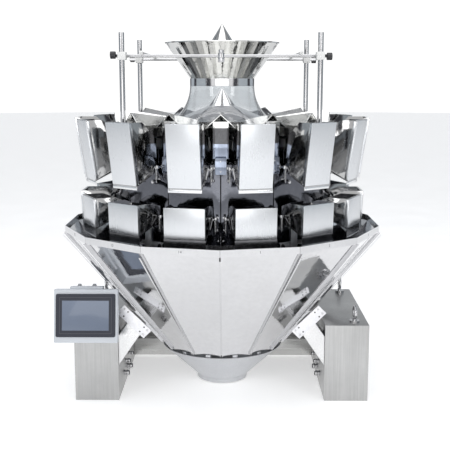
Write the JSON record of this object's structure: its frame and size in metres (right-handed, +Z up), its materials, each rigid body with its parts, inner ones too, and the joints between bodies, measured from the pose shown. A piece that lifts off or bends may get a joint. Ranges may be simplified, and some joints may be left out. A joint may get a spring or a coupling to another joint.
{
  "type": "combination weigher",
  "caption": "Multihead weigher: a ring of feed and weigh hoppers with sprung gates round a vibrating cone, over polished chutes and an outlet cone, on steel side boxes with a touch panel.",
  "frame": {"origin": "on the floor under the machine's vertical axis", "axes": "+Z up the machine's axis, -Y towards the operator's side, +X to the operator's right"},
  "size_m": [1.2602, 1.2912, 1.455],
  "materials": {
    "mirror_stainless": "mirror polished stainless sheet",
    "hopper_stainless": "satin stainless front, polished sides",
    "gate_stainless": "polished stainless sheet",
    "ribbed_stainless": "fine brushed stainless sheet",
    "brushed_stainless": "vertically brushed stainless sheet",
    "satin_stainless": "bead blasted stainless",
    "bright_bar": "bright drawn bar",
    "cast_aluminium": "machined and clear anodised",
    "clear_plastic": "clear moulded polycarbonate",
    "black_plastic": "moulded, fine grain",
    "grey_plastic": "moulded grey",
    "panel_paint": "silver white powder coat",
    "panel_glass": "dark bezel with a blue-grey display"
  },
  "bodies": {
    "frame": {"feed_hoppers": "hopper_stainless", "weigh_hoppers": "hopper_stainless", "chute_panels": "mirror_stainless", "chute_brackets": "satin_stainless", "feeder_pans": "ribbed_stainless", "pan_dividers": "ribbed_stainless", "drive_units": "satin_stainless", "vibrators": "cast_aluminium", "gate_links": "bright_bar", "load_cells": "cast_aluminium", "body_drum": "satin_stainless", "body_lid": "satin_stainless", "infeed_funnel": "mirror_stainless", "funnel_collar": "mirror_stainless", "bell_skirt": "clear_plastic", "infeed_spike": "mirror_stainless", "frame_posts": "bright_bar", "base_boxes": "brushed_stainless", "base_arms": "brushed_stainless", "rear_beam": "brushed_stainless", "outlet_cone": "brushed_stainless", "hmi_case": "panel_paint", "hmi_screen": "panel_glass", "eye_bolts": "bright_bar", "cable_connectors": "bright_bar"},
    "feed_gate_01": {"feed_gate_01": "gate_stainless"},
    "feed_gate_02": {"feed_gate_02": "gate_stainless"},
    "feed_gate_03": {"feed_gate_03": "gate_stainless"},
    "feed_gate_04": {"feed_gate_04": "gate_stainless"},
    "feed_gate_05": {"feed_gate_05": "gate_stainless"},
    "feed_gate_06": {"feed_gate_06": "gate_stainless"},
    "feed_gate_07": {"feed_gate_07": "gate_stainless"},
    "feed_gate_08": {"feed_gate_08": "gate_stainless"},
    "feed_gate_09": {"feed_gate_09": "gate_stainless"},
    "feed_gate_10": {"feed_gate_10": "gate_stainless"},
    "feed_gate_11": {"feed_gate_11": "gate_stainless"},
    "feed_gate_12": {"feed_gate_12": "gate_stainless"},
    "feed_gate_13": {"feed_gate_13": "gate_stainless"},
    "feed_gate_14": {"feed_gate_14": "gate_stainless"},
    "weigh_gate_01": {"weigh_gate_01": "gate_stainless"},
    "weigh_gate_02": {"weigh_gate_02": "gate_stainless"},
    "weigh_gate_03": {"weigh_gate_03": "gate_stainless"},
    "weigh_gate_04": {"weigh_gate_04": "gate_stainless"},
    "weigh_gate_05": {"weigh_gate_05": "gate_stainless"},
    "weigh_gate_06": {"weigh_gate_06": "gate_stainless"},
    "weigh_gate_07": {"weigh_gate_07": "gate_stainless"},
    "weigh_gate_08": {"weigh_gate_08": "gate_stainless"},
    "weigh_gate_09": {"weigh_gate_09": "gate_stainless"},
    "weigh_gate_10": {"weigh_gate_10": "gate_stainless"},
    "weigh_gate_11": {"weigh_gate_11": "gate_stainless"},
    "weigh_gate_12": {"weigh_gate_12": "gate_stainless"},
    "weigh_gate_13": {"weigh_gate_13": "gate_stainless"},
    "weigh_gate_14": {"weigh_gate_14": "gate_stainless"},
    "dispersion_cone": {"dispersion_cone": "mirror_stainless"},
    "rail": {"level_rail": "bright_bar", "level_sensor": "grey_plastic"},
    "clamp_knob_1": {"clamp_knob_1": "black_plastic"},
    "clamp_knob_2": {"clamp_knob_2": "black_plastic"},
    "clamp_knob_3": {"clamp_knob_3": "black_plastic"},
    "clamp_knob_4": {"clamp_knob_4": "black_plastic"}
  },
  "joints": [
    {"name": "feed_gate_01_swing", "type": "hinge", "parent": "frame", "child": "feed_gate_01", "pos_m": [0.10013, -0.43872, 0.921], "axis": [0.9749, 0.2225, 0], "range_deg": [0, 60], "stiffness_Nm_per_rad": 0.4, "springref_deg": -57.3},
    {"name": "feed_gate_02_swing", "type": "hinge", "parent": "frame", "child": "feed_gate_02", "pos_m": [0.28057, -0.35182, 0.921], "axis": [0.7818, 0.6235, 0], "range_deg": [0, 60], "stiffness_Nm_per_rad": 0.4, "springref_deg": -57.3},
    {"name": "feed_gate_03_swing", "type": "hinge", "parent": "frame", "child": "feed_gate_03", "pos_m": [0.40544, -0.19525, 0.921], "axis": [0.4339, 0.901, 0], "range_deg": [0, 60], "stiffness_Nm_per_rad": 0.4, "springref_deg": -57.3},
    {"name": "feed_gate_04_swing", "type": "hinge", "parent": "frame", "child": "feed_gate_04", "pos_m": [0.45, 0, 0.921], "axis": [0, 1, 0], "range_deg": [0, 60], "stiffness_Nm_per_rad": 0.4, "springref_deg": -57.3},
    {"name": "feed_gate_05_swing", "type": "hinge", "parent": "frame", "child": "feed_gate_05", "pos_m": [0.40544, 0.19525, 0.921], "axis": [-0.4339, 0.901, 0], "range_deg": [0, 60], "stiffness_Nm_per_rad": 0.4, "springref_deg": -57.3},
    {"name": "feed_gate_06_swing", "type": "hinge", "parent": "frame", "child": "feed_gate_06", "pos_m": [0.28057, 0.35182, 0.921], "axis": [-0.7818, 0.6235, 0], "range_deg": [0, 60], "stiffness_Nm_per_rad": 0.4, "springref_deg": -57.3},
    {"name": "feed_gate_07_swing", "type": "hinge", "parent": "frame", "child": "feed_gate_07", "pos_m": [0.10013, 0.43872, 0.921], "axis": [-0.9749, 0.2225, 0], "range_deg": [0, 60], "stiffness_Nm_per_rad": 0.4, "springref_deg": -57.3},
    {"name": "feed_gate_08_swing", "type": "hinge", "parent": "frame", "child": "feed_gate_08", "pos_m": [-0.10013, 0.43872, 0.921], "axis": [-0.9749, -0.2225, 0], "range_deg": [0, 60], "stiffness_Nm_per_rad": 0.4, "springref_deg": -57.3},
    {"name": "feed_gate_09_swing", "type": "hinge", "parent": "frame", "child": "feed_gate_09", "pos_m": [-0.28057, 0.35182, 0.921], "axis": [-0.7818, -0.6235, 0], "range_deg": [0, 60], "stiffness_Nm_per_rad": 0.4, "springref_deg": -57.3},
    {"name": "feed_gate_10_swing", "type": "hinge", "parent": "frame", "child": "feed_gate_10", "pos_m": [-0.40544, 0.19525, 0.921], "axis": [-0.4339, -0.901, 0], "range_deg": [0, 60], "stiffness_Nm_per_rad": 0.4, "springref_deg": -57.3},
    {"name": "feed_gate_11_swing", "type": "hinge", "parent": "frame", "child": "feed_gate_11", "pos_m": [-0.45, 0, 0.921], "axis": [0, -1, 0], "range_deg": [0, 60], "stiffness_Nm_per_rad": 0.4, "springref_deg": -57.3},
    {"name": "feed_gate_12_swing", "type": "hinge", "parent": "frame", "child": "feed_gate_12", "pos_m": [-0.40544, -0.19525, 0.921], "axis": [0.4339, -0.901, 0], "range_deg": [0, 60], "stiffness_Nm_per_rad": 0.4, "springref_deg": -57.3},
    {"name": "feed_gate_13_swing", "type": "hinge", "parent": "frame", "child": "feed_gate_13", "pos_m": [-0.28057, -0.35182, 0.921], "axis": [0.7818, -0.6235, 0], "range_deg": [0, 60], "stiffness_Nm_per_rad": 0.4, "springref_deg": -57.3},
    {"name": "feed_gate_14_swing", "type": "hinge", "parent": "frame", "child": "feed_gate_14", "pos_m": [-0.10013, -0.43872, 0.921], "axis": [0.9749, -0.2225, 0], "range_deg": [0, 60], "stiffness_Nm_per_rad": 0.4, "springref_deg": -57.3},
    {"name": "weigh_gate_01_swing", "type": "hinge", "parent": "frame", "child": "weigh_gate_01", "pos_m": [0.10013, -0.43872, 0.742], "axis": [0.9749, 0.2225, 0], "range_deg": [0, 50], "stiffness_Nm_per_rad": 0.9, "springref_deg": -57.3},
    {"name": "weigh_gate_02_swing", "type": "hinge", "parent": "frame", "child": "weigh_gate_02", "pos_m": [0.28057, -0.35182, 0.742], "axis": [0.7818, 0.6235, 0], "range_deg": [0, 50], "stiffness_Nm_per_rad": 0.9, "springref_deg": -57.3},
    {"name": "weigh_gate_03_swing", "type": "hinge", "parent": "frame", "child": "weigh_gate_03", "pos_m": [0.40544, -0.19525, 0.742], "axis": [0.4339, 0.901, 0], "range_deg": [0, 50], "stiffness_Nm_per_rad": 0.9, "springref_deg": -57.3},
    {"name": "weigh_gate_04_swing", "type": "hinge", "parent": "frame", "child": "weigh_gate_04", "pos_m": [0.45, 0, 0.742], "axis": [0, 1, 0], "range_deg": [0, 50], "stiffness_Nm_per_rad": 0.9, "springref_deg": -57.3},
    {"name": "weigh_gate_05_swing", "type": "hinge", "parent": "frame", "child": "weigh_gate_05", "pos_m": [0.40544, 0.19525, 0.742], "axis": [-0.4339, 0.901, 0], "range_deg": [0, 50], "stiffness_Nm_per_rad": 0.9, "springref_deg": -57.3},
    {"name": "weigh_gate_06_swing", "type": "hinge", "parent": "frame", "child": "weigh_gate_06", "pos_m": [0.28057, 0.35182, 0.742], "axis": [-0.7818, 0.6235, 0], "range_deg": [0, 50], "stiffness_Nm_per_rad": 0.9, "springref_deg": -57.3},
    {"name": "weigh_gate_07_swing", "type": "hinge", "parent": "frame", "child": "weigh_gate_07", "pos_m": [0.10013, 0.43872, 0.742], "axis": [-0.9749, 0.2225, 0], "range_deg": [0, 50], "stiffness_Nm_per_rad": 0.9, "springref_deg": -57.3},
    {"name": "weigh_gate_08_swing", "type": "hinge", "parent": "frame", "child": "weigh_gate_08", "pos_m": [-0.10013, 0.43872, 0.742], "axis": [-0.9749, -0.2225, 0], "range_deg": [0, 50], "stiffness_Nm_per_rad": 0.9, "springref_deg": -57.3},
    {"name": "weigh_gate_09_swing", "type": "hinge", "parent": "frame", "child": "weigh_gate_09", "pos_m": [-0.28057, 0.35182, 0.742], "axis": [-0.7818, -0.6235, 0], "range_deg": [0, 50], "stiffness_Nm_per_rad": 0.9, "springref_deg": -57.3},
    {"name": "weigh_gate_10_swing", "type": "hinge", "parent": "frame", "child": "weigh_gate_10", "pos_m": [-0.40544, 0.19525, 0.742], "axis": [-0.4339, -0.901, 0], "range_deg": [0, 50], "stiffness_Nm_per_rad": 0.9, "springref_deg": -57.3},
    {"name": "weigh_gate_11_swing", "type": "hinge", "parent": "frame", "child": "weigh_gate_11", "pos_m": [-0.45, 0, 0.742], "axis": [0, -1, 0], "range_deg": [0, 50], "stiffness_Nm_per_rad": 0.9, "springref_deg": -57.3},
    {"name": "weigh_gate_12_swing", "type": "hinge", "parent": "frame", "child": "weigh_gate_12", "pos_m": [-0.40544, -0.19525, 0.742], "axis": [0.4339, -0.901, 0], "range_deg": [0, 50], "stiffness_Nm_per_rad": 0.9, "springref_deg": -57.3},
    {"name": "weigh_gate_13_swing", "type": "hinge", "parent": "frame", "child": "weigh_gate_13", "pos_m": [-0.28057, -0.35182, 0.742], "axis": [0.7818, -0.6235, 0], "range_deg": [0, 50], "stiffness_Nm_per_rad": 0.9, "springref_deg": -57.3},
    {"name": "weigh_gate_14_swing", "type": "hinge", "parent": "frame", "child": "weigh_gate_14", "pos_m": [-0.10013, -0.43872, 0.742], "axis": [0.9749, -0.2225, 0], "range_deg": [0, 50], "stiffness_Nm_per_rad": 0.9, "springref_deg": -57.3},
    {"name": "cone_shake", "type": "slide", "parent": "frame", "child": "dispersion_cone", "axis": [0, 0, 1], "range_m": [-0.001, 0.001], "stiffness_N_per_m": 240000},
    {"name": "rail_height", "type": "slide", "parent": "frame", "child": "rail", "axis": [0, 0, 1], "range_m": [-0.12, 0.06]},
    {"name": "clamp_knob_1_turn", "type": "hinge", "parent": "rail", "child": "clamp_knob_1", "pos_m": [0.37642, -0.30498, 1.322], "axis": [1, 0, 0], "range_deg": [-180, 180]},
    {"name": "clamp_knob_2_turn", "type": "hinge", "parent": "rail", "child": "clamp_knob_2", "pos_m": [0.37642, 0.30498, 1.322], "axis": [1, 0, 0], "range_deg": [-180, 180]},
    {"name": "clamp_knob_3_turn", "type": "hinge", "parent": "rail", "child": "clamp_knob_3", "pos_m": [-0.37642, 0.30498, 1.322], "axis": [-1, 0, 0], "range_deg": [-180, 180]},
    {"name": "clamp_knob_4_turn", "type": "hinge", "parent": "rail", "child": "clamp_knob_4", "pos_m": [-0.37642, -0.30498, 1.322], "axis": [-1, 0, 0], "range_deg": [-180, 180]}
  ]
}
